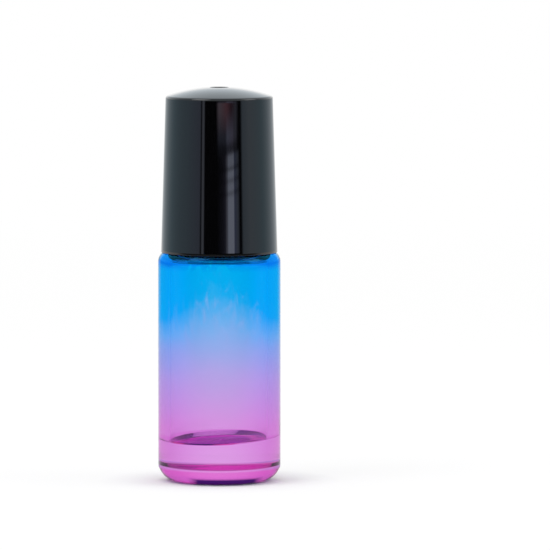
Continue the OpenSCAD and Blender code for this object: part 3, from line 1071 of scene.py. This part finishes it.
@dataclass
class Studio:
    """A white sweep, soft lamps, and a dark room in front of the object for its gloss."""

    distance: float = 1.3
    elevation: float = 4.6
    image: float = 550.0
    scale: float = 6.125
    centre_x: float = 219.3
    base_y: float = 481.5
    sensor: float = 36.0
    aim_height: float = 0.035
    # The room's colours by the angle from the camera's side, in degrees, to the right: pale
    # walls, a thin dark post and a light strip on the left, and the dark behind the camera
    room: Stops = (
        (-180, "#FFFFFF"), (-110, "#C0E0F0"), (-70, "#C0DCF0"), (-40, "#B8C4E0"),
        (-38, "#484C58"), (-36, "#484C58"), (-35, "#D8E0F4"), (-31.6, "#D8E0F4"),
        (-30, "#000004"), (46, "#000004"), (50, "#C0D4E8"), (66, "#DCECFC"), (100, "#C0E0F0"),
        (130, "#E4F4FF"), (180, "#FFFFFF"))
    # The window in that dark, by the same angle: a bright pane between dim frames, a dimmer
    # pane above it, and a reddish blind at the top
    window: tuple[Stops, Stops, Stops] = (
        ((-4, "#000000"), (8, "#282834"), (13, "#404050"), (15, "#808090"), (17.5, "#8890A4"),
         (18.5, "#C8D0E8"), (30, "#C8D0E8"), (31, "#687090"), (38, "#687080"), (42, "#000000")),
        ((-5, "#000000"), (0, "#484C5C"), (13, "#484C5C"), (17, "#7C8098"), (28, "#7C7890"),
         (31, "#606070"), (35, "#606070"), (38, "#282830"), (42, "#000000")),
        ((-6, "#000000"), (0, "#887C88"), (15, "#8C606C"), (25, "#503440"), (35, "#585864"),
         (41, "#000000")))
    window_strength: float = 3.6
    window_distance: float = 300.0
    window_steps: int = 24
    # Heights in mm between which its low part ends and its top begins, and its bars by height
    window_height: tuple[Pair, ...] = ((52.0, 52.2), (56.0, 61.0))
    bars: Stops = (
        (30, "#FFFFFF"), (43.9, "#FFFFFF"), (44.2, "#A8A8A8"), (44.6, "#A8A8A8"),
        (44.9, "#FFFFFF"), (46.3, "#FFFFFF"), (46.6, "#A0A0A0"), (47.0, "#A0A0A0"),
        (47.3, "#FFFFFF"), (48.7, "#FFFFFF"), (49.0, "#707070"), (49.4, "#707070"),
        (49.7, "#ECECEC"), (51.9, "#ECECEC"), (52.2, "#909090"), (53.6, "#909090"),
        (55.0, "#FFFFFF"), (72.0, "#FFFFFF"))
    # Where the bright backdrop sets in, behind by the direction's Y and above by its Z, and
    # the Z where the ceiling does
    backdrop: Pair = (0.1, 0.6)
    backdrop_rise: Pair = (0.05, 0.075)
    ceiling_rise: Pair = (0.12, 0.35)
    ceiling: str = "#EEF8FF"
    glare: float = 1.5
    daylight: float = 0.95
    table: float = 0.6
    table_corners: int = 96
    paper: str = "#F4F4F4"
    # How much the table glows under the bottle and out in the open, and where that changes
    glow: Pair = (0.03, 0.72)
    glow_near: Pair = (12.0, 20.0)
    glow_far: float = 100.0
    glow_end: float = 0.95
    # How bright the table is in front, for the gloss, and where it turns white
    ahead: float = 0.03
    ahead_reach: Pair = (-150.0, 20.0)

    def camera(self) -> None:
        """Place a long lens so that the bottle fills the frame as it does in the photograph."""
        lift = (self.base_y - self.image / 2) / self.scale * MM
        aside = (self.image / 2 - self.centre_x) / self.scale * MM
        tilt = radians(self.elevation)
        aim = Vector((aside, 0, lift))
        back = Vector((0, -cos(tilt), sin(tilt)))
        data = bpy.data.cameras.new("camera")
        data.sensor_width = self.sensor
        data.lens = self.scale / MM * self.sensor / self.image * self.distance
        data.clip_start, data.clip_end = 0.05, 20.0
        bpy.context.scene.camera = look_along(data, aim + back * self.distance, -back)

    def around(self, add: Adder, way: Node, stops: Stops) -> Node:
        """Pick a colour by the angle round the bottle, counted from the camera's side.

        Args:
            add: Adds a node to the tree.
            way: A node that gives the X and Y of a direction or a place.
            stops: Angles in degrees with their colours.

        Returns:
            The colour seen that way.
        """
        forward = add("Math MULTIPLY", way.outputs["Y"], -1.0)
        angle = add("Math ARCTAN2", way.outputs["X"], forward)
        walls = add("ValToRGB", add("MapRange", angle, -pi, pi))
        set_ramp(walls, [(turn / 360 + 0.5, code) for turn, code in stops])
        return walls

    def bounced(self, add: Adder, path: Node) -> Node:
        """Tell the rays that come off a gloss or through glass from all others."""
        return add("Math MAXIMUM", path.outputs["Is Glossy Ray"],
                   path.outputs["Is Transmission Ray"])

    def world(self) -> None:
        """Fill the room: white for the view and behind, grey at the sides, dark in front.

        Only bounced rays see the room, and the others plain white. A glossy ray that hasn't
        been through glass sees the backdrop behind the bottle brighter than white.
        """
        world = bpy.data.worlds.new("studio")
        bpy.context.scene.world = world
        add = start_nodes(world)
        way = add("SeparateXYZ", add("TexCoord").outputs["Generated"])
        y, z = way.outputs["Y"], way.outputs["Z"]
        backdrop = add("Math MULTIPLY", add("MapRange", y, *self.backdrop),
                       add("MapRange", z, *self.backdrop_rise))
        walls = add("Mix RGBA", backdrop, self.around(add, way, self.room), WHITE)
        room = add("Mix RGBA", add("MapRange", z, *self.ceiling_rise), walls,
                   linear(self.ceiling))
        path = add("LightPath")
        outside = add("MapRange", path.outputs["Transmission Depth"], To_Min=1.0, To_Max=0.0)
        shine = add("Math MULTIPLY", outside, path.outputs["Is Glossy Ray"])
        strength = add("MapRange", add("Math MULTIPLY", backdrop, shine), To_Min=1.0,
                       To_Max=self.glare)
        lighting = add("MixShader", self.bounced(add, path),
                       add("Background", WHITE, self.daylight),
                       add("Background", room, strength))
        add("OutputWorld", add("MixShader", path.outputs["Is Camera Ray"], lighting,
                               add("Background", WHITE, 1.0)))

    def floor(self) -> None:
        """Lay a pale round table that fades into the white and keeps a soft shadow."""
        angle = np.arange(self.table_corners) * TURN / self.table_corners
        points = self.table * np.stack([np.cos(angle), np.sin(angle), 0 * angle], axis=1)
        material = bpy.data.materials.new("white_sweep")
        table = new_object("table", points, [list(range(len(points)))], [material])
        add = start_nodes(material)
        place = add("TexCoord").outputs["Object"]
        y = add("SeparateXYZ", place).outputs["Y"]
        ahead = add("MapRange", y, *mm(*self.ahead_reach), self.ahead)
        far = add("VectorMath LENGTH", place)
        shadow, glow = self.glow
        near = add("MapRange", far, *mm(*self.glow_near), shadow)
        fade = add("MapRange", far, self.glow_far * MM, self.table * self.glow_end)
        in_open = add("Math MULTIPLY", add("MapRange", fade, To_Min=glow), near)
        path = add("LightPath")
        gloss = self.bounced(add, path)
        seen = add("Math MAXIMUM", gloss, path.outputs["Is Camera Ray"])
        light = add("Emission", add("Mix RGBA", gloss, WHITE, ahead), 1.0)
        add("OutputMaterial", add("MixShader", add("Math MULTIPLY", in_open, seen),
                                  add("BsdfDiffuse", linear(self.paper)), light))

    def pane(self) -> None:
        """Hang a curved pane in front, out of the picture, that only glossy rays can see.

        Its colours change with the angle round the bottle and, in three steps, with the height.
        """
        low, high = self.bars[0][0], self.bars[-1][0]
        bottom, middle, top = self.window
        angle = np.radians(np.linspace(bottom[0][0] - 2, bottom[-1][0], self.window_steps + 1))
        ring = np.stack([np.sin(angle), -np.cos(angle)], axis=1) * self.window_distance * MM
        points = np.concatenate([np.insert(ring, 2, z * MM, axis=1) for z in (low, high)])
        first = np.arange(self.window_steps)
        over = first + self.window_steps + 1
        faces = np.stack([first, first + 1, over + 1, over], axis=1)
        material = bpy.data.materials.new("window_light")
        pane = new_object("window_pane", points, faces.tolist(), [material])
        add = start_nodes(material)
        way = add("SeparateXYZ", add("TexCoord").outputs["Object"])
        z = way.outputs["Z"]
        shown = self.around(add, way, bottom)
        for stops, heights in zip((middle, top), self.window_height):
            shown = add("Mix RGBA", add("MapRange", z, *mm(*heights)), shown,
                        self.around(add, way, stops))
        barred = add("ValToRGB", add("MapRange", z, *mm(low, high)))
        set_ramp(barred, [((up - low) / (high - low), code) for up, code in self.bars])
        shown = add("Mix RGBA", 1.0, shown, barred, blend_type="MULTIPLY")
        light = add("Emission", shown, self.window_strength)
        add("OutputMaterial", add("MixShader", add("LightPath").outputs["Is Glossy Ray"],
                                  add("BsdfTransparent"), light))

    def lamp(self, name: str, place: tuple[float, float, float], size: float, power: float) -> None:
        """Hang one soft square lamp that faces the bottle.

        Args:
            name: The lamp's name.
            place: Where it hangs, in metres.
            size: Its side, in metres.
            power: Its power in watts.
        """
        data = bpy.data.lights.new(name, "AREA")
        data.size, data.energy = size, power
        place = Vector(place)
        look_along(data, place, Vector((0, 0, self.aim_height)) - place)

    def build(self) -> None:
        """Set up the camera, the room, the table and the lamps."""
        bpy.context.scene.view_settings.view_transform = "Standard"
        self.camera()
        self.world()
        self.floor()
        self.pane()
        self.lamp("key", (-0.35, -0.25, 0.6), 0.35, 1.2)
        self.lamp("fill", (0.5, -0.1, 0.45), 0.3, 0.6)


def main() -> None:
    """Build the studio and every part; the construction parts stay in the scene, hidden."""
    logging.basicConfig(level=logging.INFO, format="%(message)s")
    Studio().build()
    GlassBottle().build()
    Roller().build()
    Cap().build()


if __name__ == "__main__":
    main()
